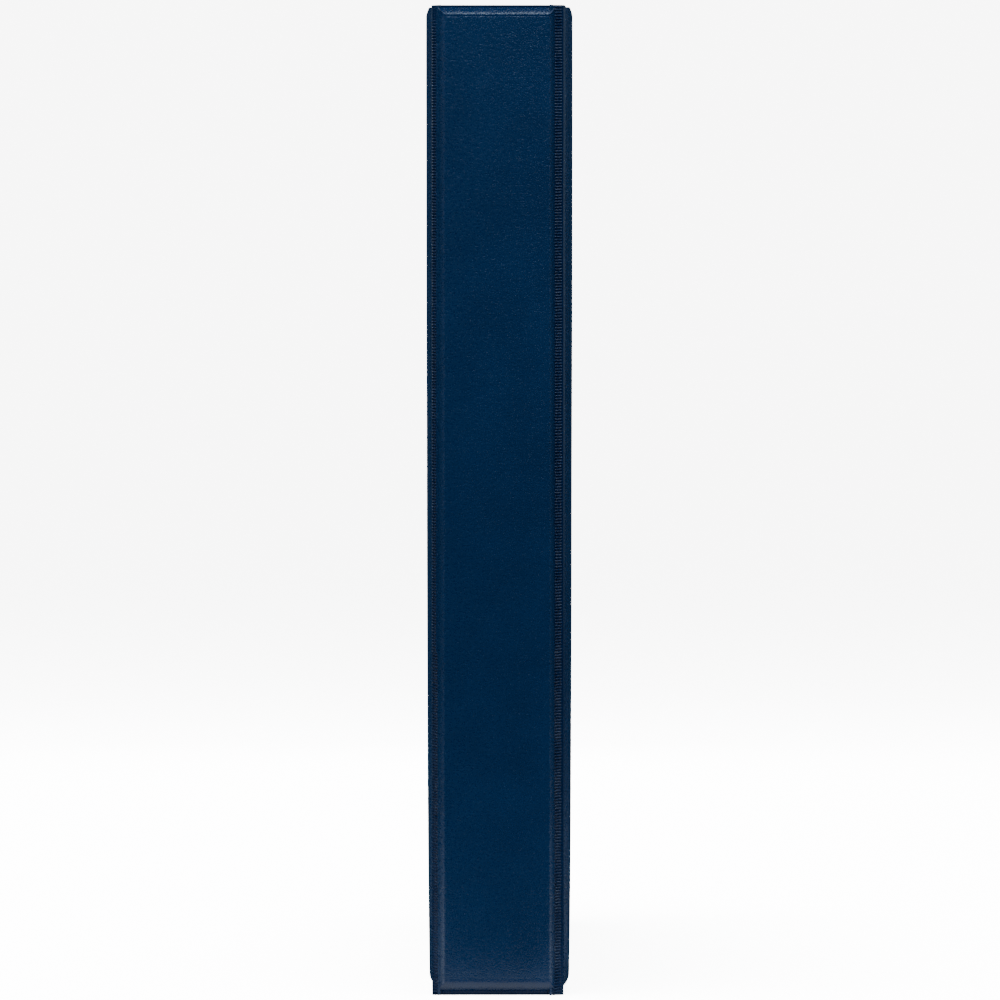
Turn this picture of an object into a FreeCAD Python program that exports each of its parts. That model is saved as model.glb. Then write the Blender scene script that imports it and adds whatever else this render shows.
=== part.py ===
import FreeCAD, Part
import os
import Sketcher

# Upright letter-size ring binder of heat-sealed vinyl: a pilot's loose-leaf logbook.
# X runs across the spine (front cover at +X), Y from the spine to the fore edge, Z up.
# The origin is at the centre of the foot.  "Depth" below is the distance behind the
# outer face of the spine, so depth 0 is the spine and cover_depth the fore edge.

DIMENSIONS = {
    # overall case
    "cover_height": 292.1,
    "cover_depth": 267.0,
    "half_width": 21.2,
    # layers of one welded panel
    "outer_vinyl": 0.4,
    "board": 2.0,
    "inner_vinyl": 0.3,
    "flange_width": 1.8,
    "bevel_foot": 2.2,
    "bevel_top": 0.3,
    # spine panel, set 0.95 mm towards the back cover
    "spine_board_left": -17.3,
    "spine_board_right": 15.4,
    "spine_edge_left": -18.3,
    "spine_edge_right": 16.6,
    "front_cover_start": 6.5,
    "back_cover_start": 7.5,
    # welded hinge webs
    "web_gap": 0.12,
    "front_web_bulge": 1.15,
    "back_web_bulge": 0.75,
    # ring metal rail
    "rail_half_foot": 12.0,
    "rail_half_shoulder": 11.4,
    "rail_shoulder": 5.6,
    "rail_crown": 8.2,
    "rail_sheet": 1.0,
    "rail_low": 14.0,
    "rail_length": 264.1,
    "notch_start": 3.2,
    "notch_end": 10.8,
    "notch_half": 2.0,
    # rings
    "ring_radius": 13.9,
    "ring_wire": 1.4,
    "ring_centre": 19.0,
    "ring_pitch": 108.0,
    "ring_root": 4.5,
    "ring_tip_gap": 0.1,
    # hinge blades under the rail
    "blade_pivot": 9.9,
    "blade_pivot_depth": 4.5,
    "blade_reach": 10.2,
    "blade_edge": 0.15,
    "blade_thick": 1.0,
    "blade_dip": 0.3,
    "blade_low": 23.0,
    "blade_rivet_gap": 3.6,
    # rivets that hold the rail to the spine board
    "rivet_shank": 1.9,
    "rivet_head": 3.4,
    "rivet_dome": 0.9,
    "rivet_back": 4.5,
    "rivet_back_thick": 0.8,
    "rivet_inset": 84.0,
    "rivet_gap": 0.05,
    # levers at the two ends of the rail
    "lever_pin": 0.9,
    "lever_gap": 0.05,
    "lever_pin_depth": 4.9,
    "lever_pin_high": 20.0,
    "lever_pin_half": 11.8,
    "lever_barrel": 1.7,
    "lever_barrel_half": 4.4,
    "lever_half": 4.0,
    "tongue_half": 2.0,
    "tongue_thick": 0.6,
    "tongue_depth": 2.9,
    "tongue_length": 5.6,
    # loose leaves
    "leaf_width": 215.9,
    "leaf_height": 279.4,
    "hole_radius": 3.97,
    "hole_margin": 12.7,
    "hole_slack": 1.5,
    "lifter_margin": 9.0,
    "tab_width": 11.0,
    "tab_height": 62.0,
    "lifter_width": 62.0,
    # pockets inside the covers
    "pocket_thick": 0.25,
    "pocket_height": 172.0,
    "pocket_margin": 5.0,
    "pocket_start": 52.0,
}

# Each side of the rings carries these leaves: inner face, outer face, measured from
# the middle of the rings.
LEAF_STACK = {
    "log_sheets_inner": (0.3, 1.9),
    "log_sheets_middle": (2.0, 3.5),
    "tab_divider": (3.6, 3.9),
    "log_sheets_outer": (4.0, 5.3),
    "sheet_lifter": (5.6, 6.2),
}

doc = FreeCAD.newDocument("ring_logbook")
dims = doc.addObject("Spreadsheet::Sheet", "dims")
for row, (alias, value) in enumerate(DIMENSIONS.items(), start=1):
    dims.set(f"A{row}", alias)
    dims.set(f"B{row}", str(value))
    dims.setAlias(f"B{row}", alias)
doc.recompute()

UPRIGHT = FreeCAD.Rotation()
MIDDLE_HIGH = "dims.cover_height / 2"
RING_HEIGHTS = {
    "top": f"{MIDDLE_HIGH} + dims.ring_pitch",
    "middle": MIDDLE_HIGH,
    "bottom": f"{MIDDLE_HIGH} - dims.ring_pitch",
}
RIVET_HEIGHTS = {
    "top": f"{MIDDLE_HIGH} + dims.rivet_inset",
    "bottom": f"{MIDDLE_HIGH} - dims.rivet_inset",
}
SIDES = {"front": 1, "back": -1}
parts = []


def value_of(expression):
    """Number that an expression of spreadsheet cells stands for."""
    return float(dims.evalExpression(str(expression)))


def bind(item, **expressions):
    """Bind properties of an object to expressions of spreadsheet cells."""
    for name, expression in expressions.items():
        item.setExpression(name, str(expression))


def place(item, x="0", depth="0", high="0", rotation=UPRIGHT):
    """Bind an object's position: x across, depth behind the spine face, high above the foot."""
    item.Placement.Rotation = rotation
    item.setExpression("Placement.Base.x", str(x))
    item.setExpression("Placement.Base.y", f"({depth}) - dims.cover_depth / 2")
    item.setExpression("Placement.Base.z", str(high))


def keep(item, label):
    """Give a finished sub-part its name and list it for export."""
    item.Label = label
    parts.append(item)
    return item


def box(x_span, depth_span, high_span):
    """Box between two expressions along each direction."""
    item = doc.addObject("Part::Box", "box")
    sizes = [f"({high}) - ({low})" for low, high in (x_span, depth_span, high_span)]
    bind(item, Length=sizes[0], Width=sizes[1], Height=sizes[2])
    place(item, x_span[0], depth_span[0], high_span[0])
    return item


def side_span(side, low, high):
    """Span across X on one side of the middle: side is 1 for the front, -1 for the back."""
    return (low, high) if side > 0 else (f"-({high})", f"-({low})")


def drill(radius, x, depth, high, length, direction):
    """Cylinder along the given direction, starting at the given point."""
    item = doc.addObject("Part::Cylinder", "drill")
    bind(item, Radius=radius, Height=length)
    place(item, x, depth, high, FreeCAD.Rotation(FreeCAD.Vector(0, 0, 1), direction))
    return item


def join(shapes):
    item = doc.addObject("Part::MultiFuse", "join")
    item.Shapes = shapes
    return item


def cut(base, tools):
    item = doc.addObject("Part::Cut", "cut")
    item.Base = base
    item.Tool = tools[0] if len(tools) == 1 else join(tools)
    return item


def mirror(source, normal, base=None):
    item = doc.addObject("Part::Mirroring", "mirror")
    item.Source = source
    item.Normal = normal
    item.Base = base or FreeCAD.Vector()
    return item


def origin_plane(body, role):
    return next(feature for feature in body.Origin.OriginFeatures if feature.Role == role)


def new_sketch(body, role="XY_Plane"):
    sketch = body.newObject("Sketcher::SketchObject", "outline")
    sketch.AttachmentSupport = [(origin_plane(body, role), "")]
    sketch.MapMode = "FlatFace"
    return sketch


def draw_outline(sketch, corners, arcs=None):
    """Closed outline through corner expressions.

    arcs gives, for a side that starts at a corner of that index, how far its arc stands
    off the chord: positive to the right of the way round, negative to the left.
    """
    arcs = arcs or {}
    points = [FreeCAD.Vector(value_of(a), value_of(b), 0) for a, b in corners]
    count = len(points)
    first, last = [1] * count, [2] * count
    for index, start in enumerate(points):
        end = points[(index + 1) % count]
        if index not in arcs:
            sketch.addGeometry(Part.LineSegment(start, end), False)
            continue
        bulge = value_of(arcs[index])
        chord = end - start
        right = FreeCAD.Vector(chord.y, -chord.x, 0).normalize()
        middle = (start + end) / 2 + right * bulge
        # Arcs are drawn counter-clockwise, so one to the left starts at its far end.
        if bulge > 0:
            sketch.addGeometry(Part.Arc(start, middle, end), False)
        else:
            sketch.addGeometry(Part.Arc(end, middle, start), False)
            first[index], last[index] = 2, 1
    for index in range(count):
        after = (index + 1) % count
        sketch.addConstraint(Sketcher.Constraint("Coincident", index, last[index], after, first[after]))
    for index, corner in enumerate(corners):
        for kind, expression in zip(("DistanceX", "DistanceY"), corner):
            constraint = Sketcher.Constraint(kind, -1, 1, index, first[index], value_of(expression))
            number = sketch.addConstraint(constraint)
            sketch.setExpression(f"Constraints[{number}]", expression)
    for index, bulge in arcs.items():
        (x0, y0), (x1, y1) = corners[index], corners[(index + 1) % count]
        chord_squared = f"((({x1}) - ({x0}))^2 + (({y1}) - ({y0}))^2)"
        radius = f"({chord_squared} / 4 + ({bulge})^2) / (2 * abs({bulge}))"
        number = sketch.addConstraint(Sketcher.Constraint("Radius", index, value_of(radius)))
        sketch.setExpression(f"Constraints[{number}]", radius)


def padded_body(name, corners, length, role="XY_Plane", arcs=None):
    """PartDesign body: one outline padded along its plane's normal."""
    body = doc.addObject("PartDesign::Body", name)
    sketch = new_sketch(body, role)
    draw_outline(sketch, corners, arcs)
    pad = body.newObject("PartDesign::Pad", "pad")
    pad.Profile = sketch
    bind(pad, Length=length)
    return body


def bevelled_tray(turn, along_span, board_span, side_flange, x, depth):
    """Raised panel of outer vinyl: a frustum over the board, on a thin flange.

    The panel rises along local Y.  along_span is its extent along local X, flange and all,
    and board_span the board's; turn is the rotation about Z that points local Y out of the
    binder.
    """
    low, high = along_span
    board_low, board_high = board_span
    edge = "dims.flange_width"
    top = f"{edge} + dims.bevel_foot - dims.bevel_top"
    frustum = doc.addObject("Part::Wedge", "frustum")
    bind(frustum, Xmin=f"{low} + {side_flange}", Xmax=f"{high} - {side_flange}")
    bind(frustum, Zmin=edge, Zmax=f"dims.cover_height - {edge}")
    bind(frustum, X2min=f"{board_low} - dims.bevel_top", X2max=f"{board_high} + dims.bevel_top")
    bind(frustum, Z2min=top, Z2max=f"dims.cover_height - ({top})")
    bind(frustum, Ymin="0", Ymax="dims.board + dims.outer_vinyl")
    flange = doc.addObject("Part::Box", "flange")
    bind(flange, Length=f"({high}) - ({low})", Width="dims.outer_vinyl", Height="dims.cover_height")
    flange.setExpression("Placement.Base.x", low)
    tray = join([frustum, flange])
    place(tray, x, depth, "0", FreeCAD.Rotation(FreeCAD.Vector(0, 0, 1), turn))
    return tray


def make_spine():
    """Spine panel: board between two vinyl sheets, with the rivet seats cut through it."""
    inset = "dims.flange_width + dims.bevel_foot"
    board_span = ("dims.spine_board_left", "dims.spine_board_right")
    board_depth = ("dims.outer_vinyl", "dims.outer_vinyl + dims.board")
    board_high = (inset, f"dims.cover_height - ({inset})")
    inner_depth = (board_depth[1], f"{board_depth[1]} + dims.inner_vinyl")
    behind = FreeCAD.Vector(0, 1, 0)
    reach = "dims.outer_vinyl + dims.board + dims.inner_vinyl"
    shank_hole = "dims.rivet_shank + dims.rivet_gap"

    def rivet_holes():
        return [drill(shank_hole, "0", "0", high, reach, behind) for high in RIVET_HEIGHTS.values()]

    seats = [
        drill("dims.rivet_back + dims.rivet_gap", "0", "dims.outer_vinyl", high,
              "dims.rivet_back_thick", behind)
        for high in RIVET_HEIGHTS.values()
    ]
    keep(cut(box(board_span, board_depth, board_high), rivet_holes() + seats), "spine_board")
    inner = box(("dims.spine_edge_left", "dims.spine_edge_right"), inner_depth,
                ("0", "dims.cover_height"))
    keep(cut(inner, rivet_holes()), "spine_inner_vinyl")
    tray = bevelled_tray(180, ("-dims.spine_edge_right", "-dims.spine_edge_left"),
                         ("-dims.spine_board_right", "-dims.spine_board_left"),
                         "0", "0", board_depth[1])
    keep(cut(tray, [box(board_span, board_depth, board_high)]), "spine_outer_vinyl")


def make_cover(name, side):
    """Cover panel: board between two vinyl sheets, and a pocket welded to its inner face."""
    start = f"dims.{name}_cover_start"
    inset = "dims.flange_width + dims.bevel_foot"
    seam = "dims.half_width - dims.outer_vinyl - dims.board"
    board_across = side_span(side, seam, "dims.half_width - dims.outer_vinyl")
    board_depth = (f"{start} + {inset}", f"dims.cover_depth - ({inset})")
    board_high = (inset, f"dims.cover_height - ({inset})")
    keep(box(board_across, board_depth, board_high), f"{name}_cover_board")
    inner_across = side_span(side, f"{seam} - dims.inner_vinyl", seam)
    keep(box(inner_across, (start, "dims.cover_depth"), ("0", "dims.cover_height")),
         f"{name}_cover_inner_vinyl")
    # Pointing local Y out at +X turns local X towards the spine, so its extent is negated.
    along = side_span(-side, start, "dims.cover_depth")
    board_along = side_span(-side, *board_depth)
    x = f"({seam})" if side > 0 else f"-({seam})"
    tray = bevelled_tray(-90 * side, along, board_along, "dims.flange_width", x, "0")
    keep(cut(tray, [box(board_across, board_depth, board_high)]), f"{name}_cover_outer_vinyl")
    pocket_face = f"{seam} - dims.inner_vinyl"
    pocket_across = side_span(side, f"{pocket_face} - dims.pocket_thick", pocket_face)
    pocket_depth = ("dims.pocket_start", "dims.cover_depth - dims.pocket_margin")
    pocket_high = ("dims.pocket_margin", "dims.pocket_margin + dims.pocket_height")
    keep(box(pocket_across, pocket_depth, pocket_high), f"{name}_pocket")


def make_web(name, side):
    """Living hinge: a strip of welded vinyl bowed outwards from the spine's edge to the cover's."""
    near = "dims.spine_edge_right + dims.web_gap" if side > 0 else "dims.web_gap - dims.spine_edge_left"
    seam = "dims.half_width - dims.outer_vinyl - dims.board"
    outer, inner = f"{seam} + dims.outer_vinyl", f"{seam} - dims.inner_vinyl"
    far_depth = f"dims.{name}_cover_start - dims.web_gap"
    corners = [
        (near, "dims.board"),
        (outer, far_depth),
        (inner, far_depth),
        (near, "dims.outer_vinyl + dims.board + dims.inner_vinyl"),
    ]
    bulge = f"dims.{name}_web_bulge"
    arcs = {0: bulge, 2: f"-{bulge}"}
    web = padded_body("web", corners, "dims.cover_height", arcs=arcs)
    place(web)
    keep(web if side > 0 else mirror(web, FreeCAD.Vector(1, 0, 0)), f"{name}_hinge_web")


def make_rail():
    """Arched steel rail, notched for the rings and drilled for rivets and lever pins."""
    foot = "dims.outer_vinyl + dims.board + dims.inner_vinyl"
    out_foot, out_side = "dims.rail_half_foot", "dims.rail_half_shoulder"
    in_foot, in_side = f"{out_foot} - dims.rail_sheet", f"{out_side} - 0.9 * dims.rail_sheet"
    in_shoulder = "dims.rail_shoulder - 0.7 * dims.rail_sheet"
    in_crown = "dims.rail_crown - dims.rail_sheet"
    corners = [
        (out_foot, foot),
        (out_side, "dims.rail_shoulder"),
        (f"-({out_side})", "dims.rail_shoulder"),
        (f"-({out_foot})", foot),
        (f"-({in_foot})", foot),
        (f"-({in_side})", in_shoulder),
        (in_side, in_shoulder),
        (in_foot, foot),
    ]
    arcs = {1: "dims.rail_crown - dims.rail_shoulder", 5: f"{in_shoulder} - ({in_crown})"}
    arch = padded_body("arch", corners, "dims.rail_length", arcs=arcs)
    place(arch, high="dims.rail_low")
    notches = []
    for high in RING_HEIGHTS.values():
        notch_high = (f"{high} - dims.notch_half", f"{high} + dims.notch_half")
        for side in SIDES.values():
            across = side_span(side, "dims.notch_start", "dims.notch_end")
            notches.append(box(across, (foot, "2 * dims.rail_crown"), notch_high))
    behind = FreeCAD.Vector(0, 1, 0)
    for high in RIVET_HEIGHTS.values():
        notches.append(drill("dims.rivet_shank + dims.rivet_gap", "0", foot, high,
                             "dims.rail_crown", behind))
    for high in ("dims.lever_pin_high", "dims.cover_height - dims.lever_pin_high"):
        notches.append(drill("dims.lever_pin + 0.4 * dims.lever_gap", "-2 * dims.lever_pin_half",
                             "dims.lever_pin_depth", high, "4 * dims.lever_pin_half",
                             FreeCAD.Vector(1, 0, 0)))
    keep(cut(arch, notches), "ring_rail")


def make_rivet(name, high):
    """Rivet turned about its own axis: flat back in the board, dome on the rail."""
    body = doc.addObject("PartDesign::Body", "rivet")
    sketch = new_sketch(body)
    back = "dims.outer_vinyl"
    seat = "dims.outer_vinyl + dims.rivet_back_thick"
    head, dome = "dims.rivet_head", "dims.rivet_dome"
    crown = "dims.rail_crown"
    corners = [
        ("0", back),
        ("dims.rivet_back", back),
        ("dims.rivet_back", seat),
        ("dims.rivet_shank", seat),
        ("dims.rivet_shank", crown),
        (head, crown),
        ("0", f"{crown} + {dome}"),
    ]
    slope_squared = f"({head}^2 + {dome}^2)"
    dome_radius = f"({slope_squared} / (2 * {dome}))"
    draw_outline(sketch, corners, {5: f"{dome_radius} - sqrt({dome_radius}^2 - {slope_squared} / 4)"})
    turned = body.newObject("PartDesign::Revolution", "turned")
    turned.Profile = sketch
    turned.ReferenceAxis = (sketch, ["V_Axis"])
    turned.Angle = 360
    place(body, high=high)
    keep(body, f"{name}_rail_rivet")


def make_ring(name, side, place_name, high):
    """Half a round ring: bent wire from its root in the blade to the tip at the middle."""
    ring = doc.addObject("Part::Torus", "ring")
    root_angle = "acos(dims.ring_root / dims.ring_radius)"
    tip_angle = "asin(dims.ring_tip_gap / dims.ring_radius)"
    bind(ring, Radius1="dims.ring_radius", Radius2="dims.ring_wire")
    bind(ring, Angle3=f"90deg + {root_angle} - {tip_angle}")
    start = f"-({root_angle})" if side > 0 else f"90deg + {tip_angle}"
    place(ring, depth="dims.ring_centre", high=high,
          rotation=FreeCAD.Rotation(FreeCAD.Vector(0, 0, 1), 45))
    ring.setExpression("Placement.Rotation.Angle", start)
    keep(ring, f"{name}_ring_{place_name}")


def make_blades():
    """Two hinge blades under the rail; their outer edges are the ring pivots."""
    half = "dims.blade_thick / 2"
    outer = "dims.blade_pivot_depth"
    inner = "dims.blade_pivot_depth - dims.blade_dip"
    corners = [
        ("dims.blade_edge", f"{inner} - {half}"),
        ("dims.blade_reach", f"{outer} - {half}"),
        ("dims.blade_reach", f"{outer} + {half}"),
        ("dims.blade_edge", f"{inner} + {half}"),
    ]
    blade = padded_body("blade", corners, "dims.cover_height - 2 * dims.blade_low")
    place(blade, high="dims.blade_low")
    gaps = [drill("dims.blade_rivet_gap", "0", "0", high, "dims.rail_crown", FreeCAD.Vector(0, 1, 0))
            for high in RIVET_HEIGHTS.values()]
    front = keep(cut(blade, gaps), "front_blade")
    keep(mirror(front, FreeCAD.Vector(1, 0, 0)), "back_blade")


def make_levers():
    """Thumb levers on pins across the rail's ends, with a tongue below the blades."""
    across = FreeCAD.Vector(1, 0, 0)
    depth, high = "dims.lever_pin_depth", "dims.lever_pin_high"
    # Side view of the thumb plate, in depth and height: out of the rail, then up.
    thumb = [
        ("dims.lever_pin_depth - 0.9", high),
        ("dims.lever_pin_depth + 0.6", f"{high} - 8.8"),
        ("dims.lever_pin_depth + 6.1", f"{high} - 11.2"),
        ("dims.lever_pin_depth + 6.3", f"{high} - 10.0"),
        ("dims.lever_pin_depth + 1.8", f"{high} - 7.4"),
        ("dims.lever_pin_depth + 0.5", high),
    ]
    plate = padded_body("thumb_plate", thumb, "2 * dims.lever_half", role="YZ_Plane")
    place(plate, x="-dims.lever_half")
    tongue = box(("-dims.tongue_half", "dims.tongue_half"),
                 ("dims.tongue_depth", "dims.tongue_depth + dims.tongue_thick"),
                 (high, f"{high} + dims.tongue_length"))
    barrel = drill("dims.lever_barrel", "-dims.lever_barrel_half", depth, high,
                   "2 * dims.lever_barrel_half", across)
    bore = drill("dims.lever_pin + dims.lever_gap", "-dims.lever_pin_half", depth, high,
                 "2 * dims.lever_pin_half", across)
    bottom = keep(cut(join([plate, tongue, barrel]), [bore]), "bottom_lever")
    pin = drill("dims.lever_pin", "-dims.lever_pin_half", depth, high,
                "2 * dims.lever_pin_half", across)
    keep(pin, "bottom_lever_pin")
    centre = FreeCAD.Vector(0, 0, value_of(MIDDLE_HIGH))
    up = FreeCAD.Vector(0, 0, 1)
    keep(mirror(bottom, up, centre), "top_lever")
    keep(mirror(pin, up, centre), "top_lever_pin")


def leaf_hole_depth(middle):
    """Depth of a leaf's holes: on the ring's arc, slid outwards by part of the slack."""
    return f"dims.ring_centre + sqrt(dims.ring_radius^2 - ({middle})^2) + dims.hole_slack"


def make_leaf(side_name, side, name, inner, outer):
    """One bundle of loose leaves, a divider with a tab, or a narrow sheet lifter."""
    hole_depth = leaf_hole_depth((inner + outer) / 2)
    lifter = name == "sheet_lifter"
    margin, width = ("lifter_margin", "lifter_width") if lifter else ("hole_margin", "leaf_width")
    edge, width = f"{hole_depth} - dims.{margin}", f"dims.{width}"
    across = side_span(side, str(inner), str(outer))
    low = f"{MIDDLE_HIGH} - dims.leaf_height / 2"
    leaf = box(across, (edge, f"{edge} + {width}"), (low, f"{low} + dims.leaf_height"))
    if name == "tab_divider":
        tab_low = f"{MIDDLE_HIGH} + {side} * 0.62 * dims.tab_height - dims.tab_height / 2"
        tab = box(across, (f"{edge} + {width}", f"{edge} + {width} + dims.tab_width"),
                  (tab_low, f"{tab_low} + dims.tab_height"))
        leaf = join([leaf, tab])
    holes = [
        drill("dims.hole_radius", "-dims.half_width", hole_depth, high, "2 * dims.half_width",
              FreeCAD.Vector(1, 0, 0))
        for high in RING_HEIGHTS.values()
    ]
    keep(cut(leaf, holes), f"{side_name}_{name}")


def check_and_export():
    """Stop on any failed object or shape, then write one STEP file per sub-part."""
    doc.recompute()
    for item in doc.Objects:
        failed = [state for state in item.State if state in ("Invalid", "Error")]
        if failed:
            raise RuntimeError(f"{item.Label}: {failed}")
    os.makedirs("parts", exist_ok=True)
    for item in parts:
        if item.Shape.isNull() or not item.Shape.isValid():
            raise RuntimeError(f"{item.Label}: bad shape")
        item.Shape.exportStep(f"parts/{item.Label}.step")
        print(f"{item.Label}: {item.Shape.Volume:.1f} mm3, solids {len(item.Shape.Solids)}")


make_spine()
for side_name, side in SIDES.items():
    make_cover(side_name, side)
    make_web(side_name, side)
make_rail()
for place_name, high in RIVET_HEIGHTS.items():
    make_rivet(place_name, high)
for side_name, side in SIDES.items():
    for place_name, high in RING_HEIGHTS.items():
        make_ring(side_name, side, place_name, high)
make_blades()
make_levers()
for side_name, side in SIDES.items():
    for leaf_name, (inner, outer) in LEAF_STACK.items():
        make_leaf(side_name, side, leaf_name, inner, outer)
check_and_export()
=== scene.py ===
import bpy
import bmesh
import math
import numpy as np
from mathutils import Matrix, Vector


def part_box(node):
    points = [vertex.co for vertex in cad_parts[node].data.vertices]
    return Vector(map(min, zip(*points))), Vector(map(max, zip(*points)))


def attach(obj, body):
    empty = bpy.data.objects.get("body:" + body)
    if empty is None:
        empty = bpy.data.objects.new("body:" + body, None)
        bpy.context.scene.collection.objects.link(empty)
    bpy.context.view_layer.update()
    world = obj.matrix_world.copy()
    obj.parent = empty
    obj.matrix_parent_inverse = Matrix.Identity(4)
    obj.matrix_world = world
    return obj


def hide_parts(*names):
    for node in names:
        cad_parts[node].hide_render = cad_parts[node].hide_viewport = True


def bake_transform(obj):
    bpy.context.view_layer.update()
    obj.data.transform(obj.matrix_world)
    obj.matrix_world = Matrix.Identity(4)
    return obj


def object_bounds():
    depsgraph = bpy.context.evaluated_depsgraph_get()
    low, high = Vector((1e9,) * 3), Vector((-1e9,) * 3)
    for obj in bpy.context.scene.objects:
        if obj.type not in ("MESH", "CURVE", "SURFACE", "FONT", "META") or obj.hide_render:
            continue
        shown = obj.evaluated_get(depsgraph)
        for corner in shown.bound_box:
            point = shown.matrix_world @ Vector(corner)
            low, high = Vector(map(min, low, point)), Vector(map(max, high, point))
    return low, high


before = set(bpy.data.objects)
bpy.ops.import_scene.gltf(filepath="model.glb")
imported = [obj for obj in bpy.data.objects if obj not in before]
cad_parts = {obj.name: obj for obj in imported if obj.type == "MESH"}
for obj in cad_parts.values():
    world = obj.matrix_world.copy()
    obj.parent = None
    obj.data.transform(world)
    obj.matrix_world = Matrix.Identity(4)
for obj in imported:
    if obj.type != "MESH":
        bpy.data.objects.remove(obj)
CAD_BOX = [list(map(float, corner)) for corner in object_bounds()]

MM = 0.001
RNG = np.random.default_rng(11)
SIDES = {"front": 1, "back": -1}
RING_PLACES = ("top", "middle", "bottom")
BUNDLES = ("log_sheets_inner", "log_sheets_middle", "log_sheets_outer")
LINK = bpy.context.scene.collection.objects.link

# Places that the frame gives, in metres. A seam is the plane where outer and inner vinyl meet:
# SEAM is its depth behind the spine's face, and COVER_SEAM its x on the front cover.
LOW, HIGH = (Vector(corner) for corner in CAD_BOX)
HEIGHT = HIGH.z - LOW.z
MIDDLE = LOW.z + HEIGHT / 2
SPINE_FACE = LOW.y
FORE_EDGE = HIGH.y
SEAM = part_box("spine_inner_vinyl")[0].y - SPINE_FACE
COVER_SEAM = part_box("front_cover_inner_vinyl")[1].x
COVER_THICK = HIGH.x - COVER_SEAM

# Vinyl and its welds, in metres. HAIR is how far faces at a seam stay off its plane.
VINYL = 0.4 * MM
HAIR = 0.02 * MM
RIB_PITCH = 0.87 * MM
RIB_HEIGHT = 0.32 * MM
RIB_SHARPNESS = 1.8
RIB_STEPS = 6
FOOT_FLANGE = 1.45 * MM
HEAD_FLANGE = 0.75 * MM
SIDE_FLANGE = 1.8 * MM
# Height at which the hinge welds change width.
WELD_STEP = 0.346 * HEIGHT

# The spine panel, where the vinyl covers the board, and how wide its bevels are. It laps a
# little over the flange at each end, and each flange runs on under it.
PANEL_LEFT = -18.2 * MM
PANEL_RIGHT = 16.5 * MM
PANEL_LOW = LOW.z + FOOT_FLANGE - 0.1 * MM
PANEL_HIGH = HIGH.z - HEAD_FLANGE + 0.05 * MM
FOOT_FLANGE_END = PANEL_LOW + 0.25 * MM
HEAD_FLANGE_START = PANEL_HIGH - 0.2 * MM
LEFT_BEVEL = 2.9 * MM
RIGHT_BEVEL = 2.3 * MM
FOOT_BEVEL = 3.4 * MM
HEAD_BEVEL = 3.0 * MM

# Round holes punched in the leaves.
HOLE_RADIUS = 3.97 * MM

# Colour sockets of a Mix node: its two inputs and its result.
MIX_A, MIX_B, MIX_RESULT = 6, 7, 2

# Lamp colours.
WHITE = (1.0, 1.0, 1.0)
MILD = (0.82, 0.93, 1.0)
COOL = (0.6, 0.82, 1.0)
# Brightness of the floor and of what lies beyond it, as the camera sees them.
PALE = 8.0


# ---------------------------------------------------------------- mesh helpers

def new_object(name, verts, faces, material, smooth=True):
    """Mesh object from vertices in metres, with its normals outward."""
    mesh = bpy.data.meshes.new(name)
    mesh.from_pydata([tuple(v) for v in verts], [], faces)
    mesh.validate()
    work = bmesh.new()
    work.from_mesh(mesh)
    bmesh.ops.recalc_face_normals(work, faces=work.faces)
    work.to_mesh(mesh)
    work.free()
    mesh.materials.append(material)
    mesh.polygons.foreach_set("use_smooth", [smooth] * len(mesh.polygons))
    obj = bpy.data.objects.new(name, mesh)
    LINK(obj)
    return obj


def face_centres(piece):
    """Centre of each face of a piece, one row each."""
    centres = np.empty(3 * len(piece.data.polygons))
    piece.data.polygons.foreach_get("center", centres)
    return centres.reshape(-1, 3)


def mark_faces(piece, material, chosen):
    """Give some faces of a piece a material of their own: chosen has one flag per face."""
    slots = np.zeros(len(piece.data.polygons), dtype=np.int32)
    piece.data.polygons.foreach_get("material_index", slots)
    slots[chosen] = len(piece.data.materials)
    piece.data.materials.append(material)
    piece.data.polygons.foreach_set("material_index", slots)


class Shell:
    """Collects closed sheets, each a top and a bottom grid joined round their edge."""

    def __init__(self):
        self.verts = []
        self.faces = []

    def add(self, top, bottom):
        """Add a closed sheet: top and bottom are (rows, columns, 3) arrays of points.

        The bottom may have fewer rows: then one of its rows stands under every few of the top.
        """
        rows, cols = top.shape[:2]
        under_rows = bottom.shape[0]
        step = (rows - 1) // (under_rows - 1)
        start = len(self.verts)
        self.verts.extend(top.reshape(-1, 3))
        self.verts.extend(bottom.reshape(-1, 3))
        under = start + rows * cols

        def corner(base, row, col):
            return base + row * cols + col

        def grid(base, count):
            for row in range(count - 1):
                for col in range(cols - 1):
                    yield (corner(base, row, col), corner(base, row, col + 1),
                           corner(base, row + 1, col + 1), corner(base, row + 1, col))

        self.faces.extend(grid(start, rows))
        self.faces.extend(face[::-1] for face in grid(under, under_rows))
        for row, under_row in ((0, 0), (rows - 1, under_rows - 1)):
            for col in range(cols - 1):
                self.faces.append((corner(start, row, col), corner(start, row, col + 1),
                                   corner(under, under_row, col + 1), corner(under, under_row, col)))
        for col in (0, cols - 1):
            for row in range(under_rows - 1):
                above = [corner(start, row * step + k, col) for k in range(step + 1)]
                self.faces.append((*above, corner(under, row + 1, col), corner(under, row, col)))

    def build(self, name, material):
        """Mesh object of all the sheets collected."""
        return new_object(name, self.verts, self.faces, material)


def spread(low, high, edge_low, edge_high, fine, coarse):
    """Positions from low to high, fine within edge_low and edge_high of the ends."""
    least_gap = 0.2 * fine
    parts = [np.arange(low, low + edge_low, fine),
             np.arange(low + edge_low, high - edge_high, coarse),
             np.arange(high - edge_high, high, fine), [high]]
    places = np.concatenate(parts)
    keep = np.concatenate([[True], np.diff(places) > least_gap])
    places = places[keep]
    places[-1] = high
    return places


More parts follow.
